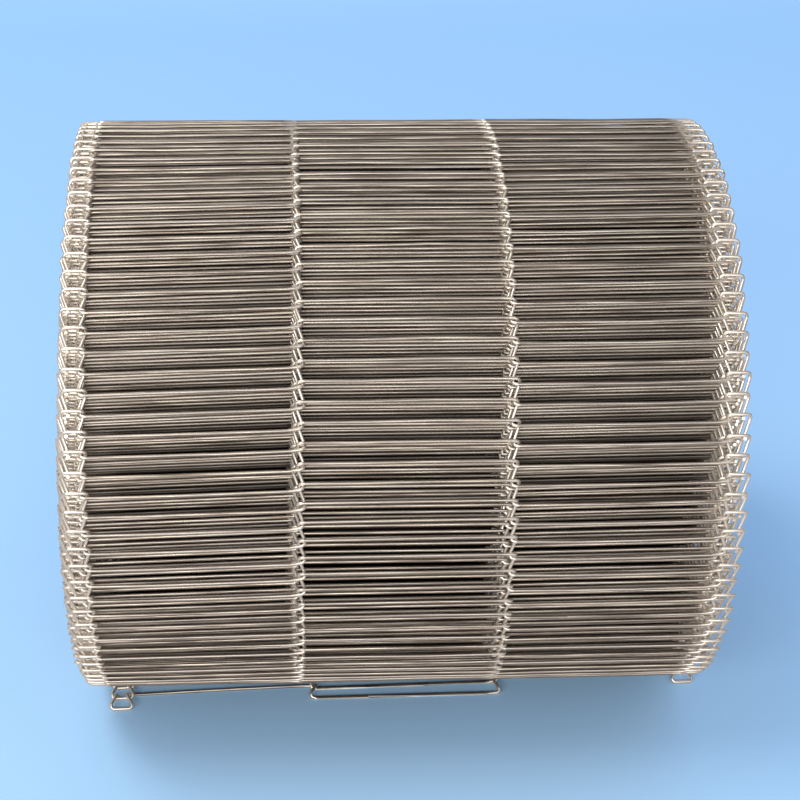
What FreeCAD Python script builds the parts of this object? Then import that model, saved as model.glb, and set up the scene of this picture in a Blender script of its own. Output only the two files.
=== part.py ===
"""A roll of flat-flex wire conveyor belt, lying on its side with its free end on the floor.

The belt is a chain of bent wire strands. Each strand is one wire: it crosses the belt in straight
bars that lie by turns at its front and at its rear, joined by short legs, and it ends each side in
a small loop that hooks round the strand behind it. The rolled length is one turned solid with its
bore, and the stretch that runs out from under the roll is made strand by strand.

The origin is on the floor, under the middle of the roll. X runs along the roll, -Y towards the
free end, +Z up. Sizes are in millimetres and degrees.
"""

import FreeCAD
import Part
import Sketcher
import math
import os

# Driving sizes, kept in the document's spreadsheet under these aliases.
SIZES = {
    "pitch": 7.26,  # from one strand to the next along the belt
    "wire_dia": 1.27,
    "wire_gap": 0.20,  # free play between two wires that hook round each other
    "space_width": 76.0,  # between two neighbouring columns of legs
    "space_count": 3,
    "edge_width": 6.2,  # from the outer column of legs to the edge loop's own leg
    "leg_lean": 2.2,  # how far a leg leans sideways over its length
    "corner_cut": 0.7,  # how far a bend is rounded back from its corner
    "hook_drop": 0.45,  # how far the tip of an edge hook reaches below the bars' centre
    "roll_radius": 113.3,
    "bore_radius": 29.3,
    "lap_step": 3.0,  # radius lost from one turn of the roll to the next
    "lap_count": 28,
    "lap_shift": 2.3,  # how far each outer turn is pushed sideways from the one outside it
    "shifted_laps": 1,  # turns inside the outermost that are pushed sideways in steps
    "lap_group": 3,  # deeper turns that lie level with each other at the ends
    "lap_wander": 0.5,  # how far those groups stand in and out by turns
    "seat_gap": 0.10,  # between the roll and the strands that it lies on
    "tail_skew": 2.7,  # turn of the tail's strands about the vertical
    "tail_reach": 44.0,  # from the line where the roll rests to the last bar
    "tail_slide": 5.7,  # sideways, from the roll's outermost turn
    "tail_count": 8,  # strands that lie on the floor
}


def make_sheet(doc):
    """Put every driving size into a spreadsheet, one row each, and return the sheet."""
    sheet = doc.addObject("Spreadsheet::Sheet", "sizes")
    for row, (name, value) in enumerate(SIZES.items(), start=1):
        sheet.set(f"A{row}", name)
        sheet.set(f"B{row}", str(value))
        sheet.setAlias(f"B{row}", name)
    doc.recompute()
    return sheet


def hook_radius(sheet):
    """Distance between the centres of two wires, one bent round the other."""
    return sheet.wire_dia + sheet.wire_gap


def middle_shift(sheet):
    """Sideways move that brings the middle of roll and tail together over the origin."""
    return -max(sheet.tail_slide, 0) / 2


def leg_points(sheet, joint_x, side):
    """Centre line of one leg, from its rear bar to its front bar.

    The leg starts from a bar that arrives from -X when side is 1, and from +X when it is -1. It
    climbs round the front bar of the strand behind, runs forward over the rear bar of the strand
    in front, and drops to its own front bar. Y is 0 at the bar that it hooks round.
    """
    radius = hook_radius(sheet)
    rear = radius * math.sqrt(2)
    cut = sheet.corner_cut
    slope = cut / math.sqrt(2)
    rear_x = joint_x + side * sheet.leg_lean / 2
    front_x = joint_x - side * sheet.leg_lean / 2
    crest = radius * math.tan(math.radians(22.5))
    front = sheet.pitch
    return [
        (rear_x - side * cut, rear, 0),
        (rear_x, rear - slope, slope),
        (rear_x, crest, radius),
        (front_x, -(front - radius), radius),
        (front_x, -(front - slope), slope),
        (front_x + side * cut, -front, 0),
    ]


def end_loop_points(sheet, edge_x, side):
    """Centre line of the outer leg and hook, from the hook's tip to the edge loop's front bar."""
    radius = hook_radius(sheet)
    cut = sheet.corner_cut
    slope = cut / math.sqrt(2)
    crest = radius * math.tan(math.radians(22.5))
    hook_x = edge_x - side * sheet.leg_lean / 2
    front_x = edge_x + side * sheet.leg_lean / 2
    front = sheet.pitch
    return [
        (hook_x, radius, -sheet.hook_drop),
        (hook_x, radius, crest),
        (hook_x, crest, radius),
        (front_x, -(front - radius), radius),
        (front_x, -(front - slope), slope),
        (front_x - side * cut, -front, 0),
    ]


def strand_points(sheet):
    """Centre line of one whole strand, from the hook at -X to the hook at +X."""
    spaces = int(round(sheet.space_count))
    first_joint = -spaces * sheet.space_width / 2
    points = end_loop_points(sheet, first_joint - sheet.edge_width, -1)
    for joint in range(spaces + 1):
        joint_x = first_joint + joint * sheet.space_width
        side = 1 if joint % 2 else -1
        leg = leg_points(sheet, joint_x, side)
        points += leg if side == 1 else leg[::-1]
    right = end_loop_points(sheet, -first_joint + sheet.edge_width, 1)
    points += right[::-1]
    return [FreeCAD.Vector(*point) for point in points]


def make_strand(doc, sheet, label, behind):
    """One strand of the tail: a six-sided wire swept along its bends and set down at its place.

    behind counts strands back from the one at the free end.
    """
    points = strand_points(sheet)
    path = doc.addObject("Part::Polygon", f"{label}_path")
    path.Nodes = points
    path.Close = False
    section = doc.addObject("Part::RegularPolygon", f"{label}_section")
    section.Polygon = 6
    section.setExpression("Circumradius", "sizes.wire_dia / 2")
    turn = FreeCAD.Rotation(FreeCAD.Vector(0, 0, 1), points[1] - points[0])
    section.Placement = FreeCAD.Placement(points[0], turn)
    strand = doc.addObject("Part::Sweep", label)
    strand.Sections = [section]
    strand.Spine = path
    strand.Solid = True
    strand.Frenet = False
    strand.Transition = "Right corner"
    strand.Label = label
    along_floor = sheet.pitch / math.cos(math.radians(sheet.tail_skew))
    slide = sheet.lap_shift * sheet.shifted_laps / 2 + sheet.tail_slide + middle_shift(sheet)
    front_bar = -sheet.tail_reach + behind * along_floor
    spot = FreeCAD.Vector(slide, front_bar + along_floor, sheet.wire_dia / 2)
    skewed = FreeCAD.Rotation(FreeCAD.Vector(0, 0, 1), sheet.tail_skew)
    strand.Placement = FreeCAD.Placement(spot, skewed)
    return strand


def add_turns(body, plane, name, outer, inner, shift):
    """Add one or more turns of the roll as a ring between two radii, pushed sideways by shift.

    outer, inner and shift are written as spreadsheet expressions.
    """
    half = (
        "(sizes.space_count * sizes.space_width + sizes.leg_lean + sizes.wire_dia) / 2"
        " + sizes.edge_width"
    )
    sketch = body.newObject("Sketcher::SketchObject", f"{name}_section")
    sketch.AttachmentSupport = [(plane, "")]
    sketch.MapMode = "FlatFace"
    corners = [(-120, 60), (120, 60), (120, 70), (-120, 70)]
    corners = [FreeCAD.Vector(x, radius, 0) for x, radius in corners]
    for start, end in zip(corners, corners[1:] + corners[:1]):
        sketch.addGeometry(Part.LineSegment(start, end))
    for line in range(4):
        sketch.addConstraint(Sketcher.Constraint("Coincident", line, 2, (line + 1) % 4, 1))
        level = "Horizontal" if line % 2 == 0 else "Vertical"
        sketch.addConstraint(Sketcher.Constraint(level, line))
    bounds = {
        "inner": (("DistanceY", -1, 1, 0, 1, 60), inner),
        "outer": (("DistanceY", -1, 1, 2, 1, 70), outer),
        "right": (("DistanceX", -1, 1, 1, 1, 120), f"{half} + {shift}"),
        "left": (("DistanceX", 3, 1, -1, 1, 120), f"{half} - ({shift})"),
    }
    for label, (constraint, expression) in bounds.items():
        number = sketch.addConstraint(Sketcher.Constraint(*constraint))
        sketch.renameConstraint(number, label)
        sketch.setExpression(f"Constraints.{label}", expression)
    ring = body.newObject("PartDesign::Revolution", name)
    ring.Profile = sketch
    ring.ReferenceAxis = (sketch, ["H_Axis"])
    ring.Angle = 360
    body.Tip = ring
    return ring


def make_roll(doc, sheet):
    """The rolled length of belt, one solid round its bore, whose turns step at its two ends."""
    body = doc.addObject("PartDesign::Body", "rolled_belt")
    body.Label = "rolled_belt"
    plane = next(item for item in body.Origin.OriginFeatures if item.Role == "XZ_Plane")
    laps = int(sheet.lap_count)
    shifted = int(sheet.shifted_laps)
    group = int(sheet.lap_group)
    firsts = list(range(shifted)) + list(range(shifted, laps, group))
    for number, first in enumerate(firsts):
        outer = f"sizes.roll_radius - {first} * sizes.lap_step"
        inner = "sizes.bore_radius"
        if number + 1 < len(firsts):
            inner = f"sizes.roll_radius - {firsts[number + 1]} * sizes.lap_step"
        shift = f"sizes.lap_shift * (sizes.shifted_laps / 2 - {min(first, shifted)})"
        if first > shifted and (first - shifted) // group % 2:
            shift += " + sizes.lap_wander"
        add_turns(body, plane, f"turns_{number + 1}", outer, inner, shift)
    mat_top = sheet.wire_dia + hook_radius(sheet)
    axle = mat_top + sheet.seat_gap + sheet.roll_radius
    spot = FreeCAD.Vector(middle_shift(sheet), 0, axle)
    body.Placement = FreeCAD.Placement(spot, FreeCAD.Rotation())
    return body


def check(doc, subparts):
    """Stop if any object failed, or if a sub-part is not one valid closed solid."""
    for item in doc.Objects:
        if "Invalid" in item.State or "Error" in item.State:
            raise RuntimeError(f"{item.Name} failed: {item.State}")
    for part in subparts:
        shape = part.Shape
        if shape.isNull() or not shape.isValid() or len(shape.Solids) != 1 or shape.Volume <= 0:
            raise RuntimeError(f"{part.Label} is not one valid solid")


def main():
    doc = FreeCAD.newDocument("belt_roll")
    sheet = make_sheet(doc)
    subparts = [make_roll(doc, sheet)]
    count = int(sheet.tail_count)
    for number in range(1, count + 1):
        subparts.append(make_strand(doc, sheet, f"tail_strand_{number}", count - number))
    doc.recompute()
    check(doc, subparts)
    os.makedirs("parts", exist_ok=True)
    for part in subparts:
        part.Shape.exportStep(f"parts/{part.Label}.step")


main()
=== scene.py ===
import math

import bpy
import numpy as np
from mathutils import Matrix, Vector


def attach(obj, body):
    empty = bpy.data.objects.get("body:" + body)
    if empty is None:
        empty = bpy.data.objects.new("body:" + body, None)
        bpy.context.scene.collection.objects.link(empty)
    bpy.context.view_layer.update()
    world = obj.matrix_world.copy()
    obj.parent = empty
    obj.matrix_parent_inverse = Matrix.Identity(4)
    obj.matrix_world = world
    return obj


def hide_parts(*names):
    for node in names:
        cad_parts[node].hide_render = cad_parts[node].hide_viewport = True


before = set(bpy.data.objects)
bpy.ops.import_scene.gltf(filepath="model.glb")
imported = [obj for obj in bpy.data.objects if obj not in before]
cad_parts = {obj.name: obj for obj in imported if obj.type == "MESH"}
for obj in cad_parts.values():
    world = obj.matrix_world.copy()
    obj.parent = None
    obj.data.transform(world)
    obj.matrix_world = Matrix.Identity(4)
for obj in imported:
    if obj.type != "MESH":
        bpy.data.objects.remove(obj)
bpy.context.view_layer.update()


# Stainless spring wire: cold drawn through a die, so its streaks run along the wire. Its colour is a
# warm grey that varies a little from strand to strand.


def add_node(tree, kind, inputs=None, **options):
    """Add a node with its options. An input is linked where a socket is given, and set otherwise."""
    node = tree.nodes.new(kind)
    for option, value in options.items():
        setattr(node, option, value)
    for name, value in (inputs or {}).items():
        if isinstance(value, bpy.types.NodeSocket):
            tree.links.new(value, node.inputs[name])
        else:
            node.inputs[name].default_value = value
    return node


steel = bpy.data.materials.new("drawn_stainless_wire")
steel.use_nodes = True
metal = steel.node_tree
shader = metal.nodes["Principled BSDF"]
shader.inputs["Metallic"].default_value = 1.0

place = add_node(metal, "ShaderNodeTexCoord").outputs["Object"]
tone = add_node(metal, "ShaderNodeAttribute", attribute_name="tone").outputs["Fac"]
depth = add_node(metal, "ShaderNodeAttribute", attribute_name="depth").outputs["Fac"]
bend = add_node(metal, "ShaderNodeAttribute", attribute_name="bend").outputs["Fac"]

stretched = add_node(metal, "ShaderNodeMapping", {
    "Vector": place,
    "Scale": (40.0, 1500.0, 1500.0),
})
streaks = add_node(metal, "ShaderNodeTexNoise", {
    "Vector": stretched.outputs["Vector"],
    "Scale": 1.0,
    "Detail": 3.0,
    "Roughness": 0.6,
}).outputs["Fac"]
blotches = add_node(metal, "ShaderNodeTexNoise", {
    "Vector": place,
    "Scale": 55.0,
    "Detail": 2.0,
}).outputs["Fac"]

drawn = add_node(metal, "ShaderNodeValToRGB", {"Fac": streaks})
dark_streak = drawn.color_ramp.elements[0]
dark_streak.position = 0.38
dark_streak.color = (0.25, 0.21, 0.18, 1.0)
pale_streak = drawn.color_ramp.elements[1]
pale_streak.position = 0.62
pale_streak.color = (0.73, 0.67, 0.59, 1.0)
toned = add_node(metal, "ShaderNodeMix", {
    "Factor": tone,
    "A": drawn.outputs["Color"],
    "B": (0.52, 0.48, 0.44, 1.0),
}, data_type="RGBA")

# Deep in the roll the long spaces are painted near black, a painted shade for the light that reaches less
# far between the outer laps. Near the edges of the roll the painted shade is lighter.
sides = add_node(metal, "ShaderNodeSeparateXYZ", {"Vector": place})
from_middle = add_node(metal, "ShaderNodeMath", {0: sides.outputs["X"]}, operation="ABSOLUTE")
inside_edges = add_node(metal, "ShaderNodeMapRange", {
    "Value": from_middle.outputs["Value"],
    "From Min": 0.104,
    "From Max": 0.116,
    "To Min": 1.0,
    "To Max": 0.25,
})
painted_depth_shade = add_node(metal, "ShaderNodeMath", {
    0: depth,
    1: inside_edges.outputs["Result"],
}, operation="MULTIPLY").outputs["Value"]
with_painted_depth_shade = add_node(metal, "ShaderNodeMix", {
    "Factor": painted_depth_shade,
    "A": toned.outputs["Result"],
    "B": (0.035, 0.027, 0.022, 1.0),
}, data_type="RGBA")

# The bends are painted pale cream, a painted highlight for the bright glints on the legs and edge loops,
# a little weaker under the painted shade. There the wire is also a little less metallic, so it scatters
# the light from every side and reads paler.
unshaded_share = add_node(metal, "ShaderNodeMath", {0: painted_depth_shade, 1: -0.25, 2: 1.0}, operation="MULTIPLY_ADD")
painted_bend_highlight = add_node(metal, "ShaderNodeMath", {
    0: bend,
    1: unshaded_share.outputs["Value"],
}, operation="MULTIPLY").outputs["Value"]
with_painted_bend_highlight = add_node(metal, "ShaderNodeMix", {
    "Factor": painted_bend_highlight,
    "A": with_painted_depth_shade.outputs["Result"],
    "B": (0.97, 0.91, 0.83, 1.0),
}, data_type="RGBA")
polish = add_node(metal, "ShaderNodeMapRange", {
    "Value": painted_bend_highlight,
    "To Min": 1.0,
    "To Max": 0.95,
})
rough = add_node(metal, "ShaderNodeMapRange", {
    "Value": blotches,
    "From Min": 0.3,
    "From Max": 0.7,
    "To Min": 0.36,
    "To Max": 0.52,
})
scratches = add_node(metal, "ShaderNodeBump", {
    "Height": streaks,
    "Strength": 0.18,
    "Distance": 0.0001,
})
metal.links.new(with_painted_bend_highlight.outputs["Result"], shader.inputs["Base Color"])
metal.links.new(polish.outputs["Result"], shader.inputs["Metallic"])
metal.links.new(rough.outputs["Result"], shader.inputs["Roughness"])
metal.links.new(scratches.outputs["Normal"], shader.inputs["Normal"])


# One strand: a single wire bent into three long spaces with a leg between each two, and closed at
# both edges by a small loop whose tip hooks back over the next strand. Lengths are in metres, with
# x across the belt, y away from the free end and z towards the side that is rolled inwards.

pitch = 0.00726
wire = 0.00127
hook = 0.00147
space = 0.076
edge = 0.0062
lean = 0.0022
tip_drop = 0.0001
bar_bow = 0.0006
bow_angles = (1.6, 0.0, 0.6)
rear = hook * math.sqrt(2.0)
crest = hook * math.tan(math.radians(22.5))
loop_x = 1.5 * space + edge


def new_mesh_object(name, verts, edges=(), faces=()):
    mesh = bpy.data.meshes.new(name)
    mesh.from_pydata([tuple(v) for v in verts], [tuple(e) for e in edges], [tuple(f) for f in faces])
    thing = bpy.data.objects.new(name, mesh)
    bpy.context.scene.collection.objects.link(thing)
    return thing


def store(thing, name, kind, values):
    """Keep one value per point of a mesh as a named attribute."""
    attribute = thing.data.attributes.new(name, kind, "POINT")
    attribute.data.foreach_set("vector" if kind == "FLOAT_VECTOR" else "value", values)


def leg(joint_x, side):
    """Corners from the rear bar over the next strand to the front bar, or back where side is -1."""
    back_x = joint_x + side * lean / 2
    near_x = joint_x - side * lean / 2
    points = [(back_x, rear, 0.0), (back_x, crest, hook),
              (near_x, hook - pitch, hook), (near_x, -pitch, 0.0)]
    return points if side > 0 else points[::-1]


def edge_loop(edge_x, outward):
    """Corners of the loop at one edge: from its tip on the left edge, and to its tip on the right."""
    tip_x = edge_x - outward * lean / 2
    near_x = edge_x + outward * lean / 2
    points = [(tip_x, hook, -tip_drop), (tip_x, hook, crest), (tip_x, crest, hook),
              (near_x, hook - pitch, hook), (near_x, -pitch, 0.0)]
    return points if outward < 0 else points[::-1]


def strand_corners(fine):
    """Corners of a strand's centreline from left to right, each with 1 where it belongs to a bend."""
    corners = edge_loop(-loop_x, -1)
    for joint in range(4):
        corners += leg((joint - 1.5) * space, 1 if joint % 2 else -1)
    corners += edge_loop(loop_x, 1)
    # More points along each long space mark where its bends end, and bow a fine strand's rear bars.
    shares = (0.03, 0.3, 0.6, 0.93) if fine else (0.03, 0.97)
    detailed = [(corners[0], 1.0)]
    for before, after in zip(corners, corners[1:]):
        if math.dist(before, after) > space / 2:
            bow = bar_bow if before[1] > 0.0 and fine else 0.0
            for share in shares:
                x, y, z = (b + (a - b) * share for b, a in zip(before, after))
                detailed.append(((x, y + bow * min(share * 2.0, 1.0), z), 0.0))
        detailed.append((after, 1.0))
    return detailed


def set_of_belt(x):
    """How far the rolled belt's set bows a strand away from the free end at x: 0 at its right end."""
    kinks = np.array((-loop_x, -0.5 * space, 0.5 * space, loop_x))
    slopes = np.tan(np.radians(bow_angles))
    rises = np.concatenate(((0.0,), np.cumsum(np.diff(kinks) * slopes)))
    return float(rises[-1] - np.interp(x, kinks, rises))


def strand_path(name, fine, middle_turn=0.0):
    """The centreline as a line of edges. middle_turn swings the front bar between the two middle legs."""
    swung = math.tan(math.radians(middle_turn))
    bars_front = hook - pitch + 1e-6
    points = []
    bends = []
    for (x, y, z), share in strand_corners(fine):
        in_middle_bar = y < bars_front and abs(x) < 0.55 * space
        points.append((x, y - swung * x if in_middle_bar else y, z))
        bends.append(share)
    path = new_mesh_object(name, points, [(n, n + 1) for n in range(len(points) - 1)])
    store(path, "bend", "FLOAT", bends)
    store(path, "bowed_by", "FLOAT", [set_of_belt(point[0]) for point in points])
    return path


last_path = strand_path("last_strand_path", True, 1.9)
next_path = strand_path("next_strand_path", True, 0.9)
fine_path = strand_path("fine_strand_path", True)
plain_path = strand_path("plain_strand_path", False)


# The rolled belt's course: flat on the floor from the free end, tangent into the roll where the roll
# rests, up its back, over its top, down its front and round again, one lap 3 mm inside the other.

full_turn = 2.0 * math.pi
roll_radius = 0.1133
lap_step = 0.0030
laps = 28
seat = 0.00284
axle_z = seat + roll_radius
bar_radius = roll_radius - wire / 2
floor_radius = axle_z - wire / 2
belt_x = -0.00170
tail_reach = 0.044
tail_skew = math.radians(2.7)
tail_slide = 0.0057
inward_rate = 2.2
first_row = math.radians(270.0 - 86.93)
rows_to_mark = 13
lap_lead = 0.08 * pitch
# Places in radians past the mark, and how many pitches further on each lap's strands lie there.
open_places = (0.45, 0.71, 1.16, 2.25, 4.5)
open_pitches = (0.0, 0.24, 0.5, 0.5, 0.0)
laps_to_widest = 3.0


def eased(share):
    """The share held between 0 and 1, with a gentle start and end."""
    share = min(max(share, 0.0), 1.0)
    return share * share * (3.0 - 2.0 * share)


def lap_radius(turned):
    """Distance from the axle to the bars after so much winding, in radians from where it rests."""
    lap, share = divmod(turned / full_turn, 1.0)
    start = floor_radius if lap == 0 else bar_radius + lap_step * (1.0 - lap)
    end = bar_radius - lap_step * lap
    return start + (end - start) * eased(share * inward_rate)


def course_point(turned):
    """Where a bar lies in the y-z plane; below zero it is the length along the floor instead."""
    if turned <= 0.0:
        return np.array((turned * floor_radius, wire / 2))
    radius = lap_radius(turned)
    return np.array((radius * math.sin(turned), axle_z - radius * math.cos(turned)))


def next_turned(turned, gap):
    """The winding at which the next bar is one gap further along the belt."""
    step = gap / lap_radius(max(turned, 0.0))
    for _ in range(4):
        length = np.linalg.norm(course_point(turned + step) - course_point(turned))
        step *= gap / length
    return turned + step


def bars_after(start, gap, count):
    """So many bars that follow one another at one gap."""
    bars = []
    turned = start
    for _ in range(count):
        turned = next_turned(turned, gap)
        bars.append(turned)
    return bars


def bars_up_to(start, goal):
    """Bars about one pitch apart, with a gap that lays the last of them on the goal."""
    half_step = 0.5 * pitch / lap_radius(goal)
    count = 0
    trial = start
    while trial < goal - half_step:
        trial = next_turned(trial, pitch)
        count += 1
    gap = pitch
    for _ in range(12):
        end = bars_after(start, gap, count)[-1]
        gap *= 1.0 + (goal - end) / (goal - start)
    return bars_after(start, gap, count)


floor_gap = pitch / math.cos(tail_skew)
floor_count = int(tail_reach // floor_gap) + 1
course = [(number * floor_gap - tail_reach) / floor_radius for number in range(floor_count)]
# The gap up the back is fitted so that a bar lies on the topmost row, and the rows from there down the
# front to the mark are one pitch apart.
course += bars_up_to(course[-1], first_row)
course += bars_after(course[-1], pitch, rows_to_mark)
mark = course[-1]
for lap in range(1, laps):
    # Each lap's bars lie a little further on than those of the lap outside it.
    goal = course[-1] + full_turn + lap_lead / (bar_radius - lap_step * lap)
    course += bars_up_to(course[-1], goal)
while course[-1] < full_turn * laps:
    course += bars_after(course[-1], pitch, 1)


def opened(turned):
    """How much further on an inner strand lies low on the front, where the laps stand open."""
    lap, past = divmod(turned - mark, full_turn)
    pitches = float(np.interp(past, open_places, open_pitches))
    return pitches * min(max(lap, 0.0), laps_to_widest) * pitch / bar_radius


course = [turned + opened(turned) for turned in course]
middles = np.array([course_point(turned) for turned in course])


# How each strand lies on that course. The belt is springy and is rolled by hand, so its strands are a
# little skewed and shifted, the laps inside the outermost one stand further left, and the tail is
# turned out of square with the roll.

random = np.random.default_rng(27)
skew_spread = 0.0011
shift_spread = 0.00022
tone_middle = 0.25
tone_spread = 0.25
inner_shift = 0.0023
shift_from = 0.98
shift_over = 0.3
shift_per_lap = 0.0003
laps_to_furthest = 6.0
furthest_below_front = math.radians(15.0)
wander = 0.0003
settled = 2.2
# How dark the painted shade deep in the roll is, lap by lap.
shaded_laps = (2.0, 3.0, 4.0, 5.0, 6.0, 7.0)
painted_shade_by_lap = (0.0, 0.08, 0.26, 0.55, 0.85, 1.0)


def side_shift(turned):
    """The laps inside the outermost one stand a little further to the left on the front."""
    lap = turned / full_turn
    pushed = min(max((lap - shift_from) / shift_over, 0.0), 1.0)
    in_front = 0.5 - 0.5 * math.sin(turned - furthest_below_front)
    deeper = shift_per_lap * min(max(lap - 1.5, 0.0), laps_to_furthest)
    return -pushed * ((inner_shift + deeper) * in_front ** 3 + wander * math.sin(lap * 1.9))


def wound(turned):
    """0 on the floor and 1 from well up the back of the roll, where the belt lies as in the roll."""
    return eased(turned / settled)


def depth_at(turned):
    """0 on the outermost lap and up to 1 deep in the roll, where the wire is painted dark as shade."""
    lap = turned / full_turn - 0.5
    return float(np.interp(lap, shaded_laps, painted_shade_by_lap))


def guide(name, numbers, looseness):
    """One point per strand, which holds how the strand is turned and bowed and how its wire looks."""
    spots = []
    turns = []
    tones = []
    depths = []
    bows = []
    x_axis = Vector((1.0, 0.0, 0.0))
    for number in numbers:
        turned = course[number]
        on_floor = 1.0 - wound(turned)
        here = middles[number]
        ahead = middles[number + 1]
        along = (ahead - here) / np.linalg.norm(ahead - here)
        y_axis = Vector((0.0, along[0], along[1]))
        z_axis = Vector((0.0, -along[1], along[0]))
        skew = tail_skew * on_floor + random.normal(0.0, skew_spread * looseness)
        square_turn = Matrix((x_axis, y_axis, z_axis)).transposed()
        shift = belt_x + side_shift(turned) + tail_slide * on_floor
        shift += random.normal(0.0, shift_spread * looseness)
        spots.append((shift, ahead[0], ahead[1]))
        turns.extend((square_turn @ Matrix.Rotation(skew, 3, "Z")).to_quaternion())
        tones.append(min(max(random.normal(tone_middle, tone_spread), 0.0), 1.0))
        depths.append(depth_at(turned))
        bows.extend(y_axis * wound(turned))
    points = new_mesh_object(name, spots)
    store(points, "strand_turn", "QUATERNION", turns)
    store(points, "tone", "FLOAT", tones)
    store(points, "depth", "FLOAT", depths)
    store(points, "bow_direction", "FLOAT_VECTOR", bows)
    return points


# The strands are set out by one Geometry Nodes tree: the bent centreline is put on every point of the
# course, its corners are rounded, and a round section is swept along it.

weave = bpy.data.node_groups.new("belt_from_strands", "GeometryNodeTree")
weave_inputs = {}
for name, kind in (
    ("Geometry", "Geometry"),
    ("Strand centreline", "Object"),
    ("Wire radius", "Float"),
    ("Bend radius", "Float"),
    ("Bend steps", "Int"),
    ("Section sides", "Int"),
    ("Waviness", "Float"),
    ("Seed", "Int"),
):
    socket = weave.interface.new_socket(name, in_out="INPUT", socket_type="NodeSocket" + kind)
    weave_inputs[name] = socket.identifier
weave.interface.new_socket("Geometry", in_out="OUTPUT", socket_type="NodeSocketGeometry")
given = add_node(weave, "NodeGroupInput").outputs


def stored(name, kind):
    """What every point of the course or of the centreline holds under a name."""
    node = add_node(weave, "GeometryNodeInputNamedAttribute", {"Name": name}, data_type=kind)
    return node.outputs["Attribute"]


centreline = add_node(weave, "GeometryNodeObjectInfo", {
    "Object": given["Strand centreline"],
}, transform_space="ORIGINAL")
as_curve = add_node(weave, "GeometryNodeMeshToCurve", {"Mesh": centreline.outputs["Geometry"]})
placed = add_node(weave, "GeometryNodeInstanceOnPoints", {
    "Points": given["Geometry"],
    "Instance": as_curve.outputs["Curve"],
    "Rotation": stored("strand_turn", "QUATERNION"),
})
loose = add_node(weave, "GeometryNodeRealizeInstances", {"Geometry": placed.outputs["Instances"]})

bow = add_node(weave, "ShaderNodeVectorMath", {
    0: stored("bow_direction", "FLOAT_VECTOR"),
    "Scale": stored("bowed_by", "FLOAT"),
}, operation="SCALE")
bowed = add_node(weave, "GeometryNodeSetPosition", {
    "Geometry": loose.outputs["Geometry"],
    "Offset": bow.outputs["Vector"],
})

spot = add_node(weave, "GeometryNodeInputPosition").outputs["Position"]
wave = add_node(weave, "ShaderNodeTexNoise", {
    "Vector": spot,
    "W": given["Seed"],
    "Scale": 26.0,
    "Detail": 1.0,
}, noise_dimensions="4D")
centred = add_node(weave, "ShaderNodeVectorMath", {
    0: wave.outputs["Color"],
    1: (0.5, 0.5, 0.5),
}, operation="SUBTRACT")
# On the floor the strands lie straight, so the waves fade out in the lowest 12 mm.
level = add_node(weave, "ShaderNodeSeparateXYZ", {"Vector": spot})
lifted = add_node(weave, "ShaderNodeMapRange", {
    "Value": level.outputs["Z"],
    "From Min": 0.002,
    "From Max": 0.012,
})
wave_size = add_node(weave, "ShaderNodeMath", {
    0: given["Waviness"],
    1: lifted.outputs["Result"],
}, operation="MULTIPLY")
offset = add_node(weave, "ShaderNodeVectorMath", {
    0: centred.outputs["Vector"],
    "Scale": wave_size.outputs["Value"],
}, operation="SCALE")
waved = add_node(weave, "GeometryNodeSetPosition", {
    "Geometry": bowed.outputs["Geometry"],
    "Offset": offset.outputs["Vector"],
})

rounded = add_node(weave, "GeometryNodeFilletCurve", {
    "Curve": waved.outputs["Geometry"],
    "Count": given["Bend steps"],
    "Radius": given["Bend radius"],
    "Limit Radius": True,
}, mode="POLY")
has_bends = add_node(weave, "FunctionNodeCompare", {
    "A": given["Bend steps"],
}, data_type="INT", operation="GREATER_THAN")
bends = add_node(weave, "GeometryNodeSwitch", {
    "Switch": has_bends.outputs["Result"],
    "False": waved.outputs["Geometry"],
    "True": rounded.outputs["Curve"],
}, input_type="GEOMETRY")

section = add_node(weave, "GeometryNodeCurvePrimitiveCircle", {
    "Resolution": given["Section sides"],
    "Radius": given["Wire radius"],
})
swept = add_node(weave, "GeometryNodeCurveToMesh", {
    "Curve": bends.outputs["Output"],
    "Profile Curve": section.outputs["Curve"],
    "Fill Caps": True,
})
smooth = add_node(weave, "GeometryNodeSetShadeSmooth", {"Geometry": swept.outputs["Mesh"]})
clad = add_node(weave, "GeometryNodeSetMaterial", {
    "Geometry": smooth.outputs["Geometry"],
    "Material": steel,
})
add_node(weave, "NodeGroupOutput", {"Geometry": clad.outputs["Geometry"]})


def weave_belt(name, points, path, bend_radius, bend_steps, sides, waviness, seed):
    """Run the tree on a set of guide points and keep the result as one plain mesh."""
    woven = points.modifiers.new("weave", "NODES")
    woven.node_group = weave
    woven[weave_inputs["Strand centreline"]] = path
    woven[weave_inputs["Wire radius"]] = wire / 2
    woven[weave_inputs["Bend radius"]] = bend_radius
    woven[weave_inputs["Bend steps"]] = bend_steps
    woven[weave_inputs["Section sides"]] = sides
    woven[weave_inputs["Waviness"]] = waviness
    woven[weave_inputs["Seed"]] = seed
    points.data.update()
    solved = points.evaluated_get(bpy.context.evaluated_depsgraph_get())
    mesh = bpy.data.meshes.new_from_object(solved)
    mesh.name = name
    bpy.data.objects.remove(points)
    belt = bpy.data.objects.new(name, mesh)
    bpy.context.scene.collection.objects.link(belt)
    return belt


# The free end on the floor, eight strands of the same stainless wire: the last two swing on the bars
# that they hook round, and the others are held down by the roll.

held_end = 8

last = weave_belt(
    "last_strand_wire", guide("last_strand_guide", [0], 0.0), last_path,
    bend_radius=0.0014, bend_steps=4, sides=12, waviness=0.0, seed=1,
)
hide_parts("tail_strand_8")
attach(last, "last_strand")

next_to_last = weave_belt(
    "next_to_last_strand_wire", guide("next_strand_guide", [1], 0.0), next_path,
    bend_radius=0.0014, bend_steps=4, sides=12, waviness=0.0, seed=1,
)
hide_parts("tail_strand_7")
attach(next_to_last, "next_to_last_strand")

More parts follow.
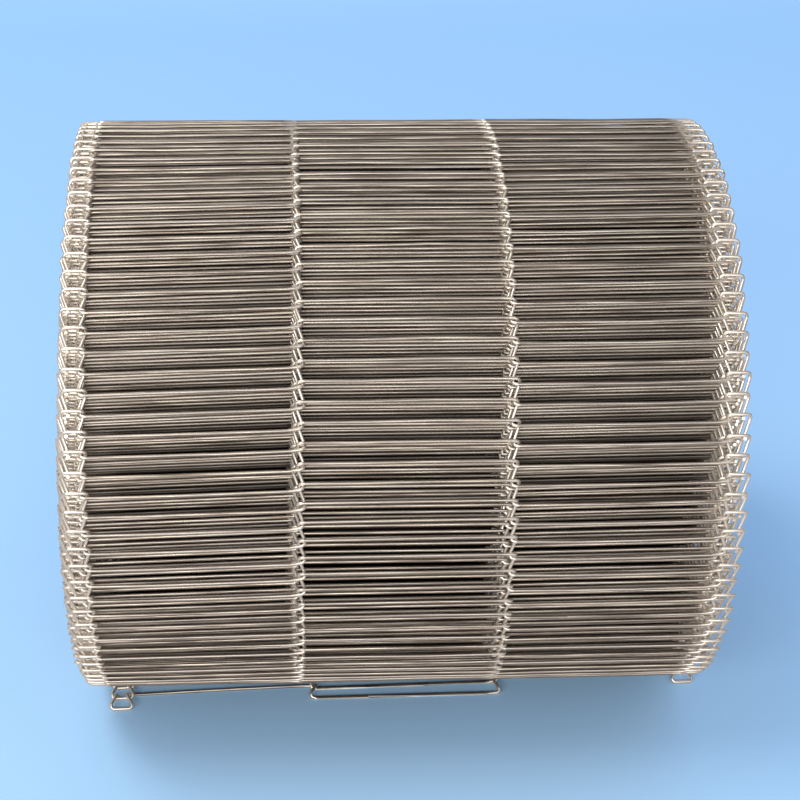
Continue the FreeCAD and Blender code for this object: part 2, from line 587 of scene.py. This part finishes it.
held = weave_belt(
    "tail_strands_held_by_the_roll", guide("held_guide", range(2, held_end), 0.3), fine_path,
    bend_radius=0.0014, bend_steps=3, sides=12, waviness=0.0, seed=1,
)
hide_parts("tail_strand_1", "tail_strand_2", "tail_strand_3", "tail_strand_4",
            "tail_strand_5", "tail_strand_6")
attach(held, "roll")


# The outer lap, which is all that shows from most sides: every bend is round and every strand hangs
# a little differently, as a loose roll of springy wire does.


def lap_end(lap):
    """The number of the first strand that lies beyond so many laps."""
    return next(number for number, turned in enumerate(course) if turned >= full_turn * lap)


outer_lap = weave_belt(
    "outer_lap_of_belt", guide("outer_guide", range(held_end, lap_end(1)), 1.0), fine_path,
    bend_radius=0.0014, bend_steps=2, sides=8, waviness=0.0012, seed=2,
)
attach(outer_lap, "roll")
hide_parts("rolled_belt")


# The laps inside the outer one are the same belt. The deeper they lie, the less of them shows between
# the strands outside, so their wires have fewer sides and their bends are plainer.

strand_count = len(course) - 2

second_lap = weave_belt(
    "second_and_third_lap_of_belt",
    guide("second_guide", range(lap_end(1), lap_end(3)), 1.0), plain_path,
    bend_radius=0.0011, bend_steps=1, sides=6, waviness=0.0012, seed=3,
)
middle_laps = weave_belt(
    "fourth_to_eighth_lap_of_belt",
    guide("middle_guide", range(lap_end(3), lap_end(8)), 1.0), plain_path,
    bend_radius=0.0, bend_steps=0, sides=5, waviness=0.0010, seed=4,
)
deep_laps = weave_belt(
    "ninth_to_sixteenth_lap_of_belt",
    guide("deep_guide", range(lap_end(8), lap_end(16)), 0.6), plain_path,
    bend_radius=0.0, bend_steps=0, sides=4, waviness=0.0006, seed=5,
)
inner_laps = weave_belt(
    "laps_round_the_bore",
    guide("inner_guide", range(lap_end(16), strand_count), 0.6), plain_path,
    bend_radius=0.0, bend_steps=0, sides=4, waviness=0.0006, seed=6,
)
for piece in (second_lap, middle_laps, deep_laps, inner_laps):
    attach(piece, "roll")
for path in (last_path, next_path, fine_path, plain_path):
    bpy.data.objects.remove(path)


# The floor and the backdrop are one sheet of pale blue paper. It hangs from above, bends smoothly
# behind the roll and lies flat under it.

paper_front = -1.6
paper_bend = 0.9
bend_size = 0.5
bend_parts = 12
paper_top = 2.4
paper_half_width = 2.6


def colour_and_reflection(tree, colour, reflected):
    """A colour as the camera and the paper see it, and another one for what the steel reflects."""
    ray = add_node(tree, "ShaderNodeLightPath")
    mixed = add_node(tree, "ShaderNodeMix", {
        "Factor": ray.outputs["Is Glossy Ray"],
        "A": colour,
        "B": reflected,
    }, data_type="RGBA")
    return mixed.outputs["Result"]


paper = bpy.data.materials.new("pale_blue_paper")
paper.use_nodes = True
paper_colour = colour_and_reflection(paper.node_tree, (0.38, 0.64, 0.92, 1.0), (0.42, 0.40, 0.38, 1.0))
paper_shader = paper.node_tree.nodes["Principled BSDF"]
paper_shader.inputs["Roughness"].default_value = 0.9
paper_shader.inputs["Specular IOR Level"].default_value = 0.1
paper.node_tree.links.new(paper_colour, paper_shader.inputs["Base Color"])

profile = [(paper_front, 0.0), (paper_bend, 0.0)]
for part in range(1, bend_parts + 1):
    angle = math.radians(90.0 * part / bend_parts)
    profile.append((paper_bend + bend_size * math.sin(angle), bend_size - bend_size * math.cos(angle)))
profile.append((paper_bend + bend_size, paper_top))
verts = [(x, y, z) for y, z in profile for x in (-paper_half_width, paper_half_width)]
faces = [(2 * n, 2 * n + 1, 2 * n + 3, 2 * n + 2) for n in range(len(profile) - 1)]
backdrop = new_mesh_object("blue_paper_backdrop", verts, faces=faces)
backdrop.data.materials.append(paper)
for polygon in backdrop.data.polygons:
    polygon.use_smooth = True


# The studio is a bright room with two broad soft lamps: one above the roll and to its left, and a
# stronger one in front of it. The room lights the paper brightly, and the steel reflects it as dim.

world = bpy.data.worlds.new("studio")
bpy.context.scene.world = world
world.use_nodes = True
room = colour_and_reflection(world.node_tree, (0.68, 0.65, 0.70, 1.0), (0.24, 0.235, 0.23, 1.0))
world.node_tree.links.new(room, world.node_tree.nodes["Background"].inputs["Color"])
lit_spot = Vector((0.0, 0.0, 0.1))


def soft_light(name, spot, width, height, power, colour):
    """A rectangular lamp that points at the middle of the roll."""
    lamp = bpy.data.lights.new(name, "AREA")
    lamp.shape = "RECTANGLE"
    lamp.size = width
    lamp.size_y = height
    lamp.energy = power
    lamp.color = colour
    holder = bpy.data.objects.new(name, lamp)
    holder.location = spot
    holder.rotation_euler = (lit_spot - Vector(spot)).to_track_quat("-Z", "Y").to_euler()
    bpy.context.scene.collection.objects.link(holder)


soft_light("top_light", (-1.0, -0.35, 2.3), 1.4, 0.8, power=23.0, colour=(1.0, 0.93, 0.85))
soft_light("front_light", (-0.5, -2.0, 1.0), 2.6, 0.5, power=35.0, colour=(1.0, 0.96, 0.92))


# The camera looks down at the roll from the front, a little from the left. Its focal length and the
# middle of its picture are in pixels of a picture 800 wide.

picture_px = 800.0
focal_px = 1944.08
middle_px = (367.98, 367.94)
sensor = 36.0
yaw = 0.05422
tilt = 0.46293
bank = 0.01236
stand = (-0.04882, -0.70351, 0.48234)

camera_data = bpy.data.cameras.new("photo_camera")
camera_data.sensor_width = sensor
camera_data.lens = focal_px / picture_px * sensor
camera_data.shift_x = (picture_px / 2 - middle_px[0]) / picture_px
camera_data.shift_y = (middle_px[1] - picture_px / 2) / picture_px
camera_data.clip_start = 0.01
camera = bpy.data.objects.new("photo_camera", camera_data)
bpy.context.scene.collection.objects.link(camera)
ahead = Vector((math.sin(yaw) * math.cos(tilt), math.cos(yaw) * math.cos(tilt), -math.sin(tilt)))
level_axis = Vector((math.cos(yaw), -math.sin(yaw), 0.0))
steep_axis = level_axis.cross(ahead)
right_axis = math.cos(bank) * level_axis + math.sin(bank) * steep_axis
up_axis = -math.sin(bank) * level_axis + math.cos(bank) * steep_axis
looking = Matrix((right_axis, up_axis, -ahead)).transposed().to_4x4()
camera.matrix_world = Matrix.Translation(stand) @ looking
bpy.context.scene.camera = camera
bpy.context.scene.view_settings.view_transform = "Standard"
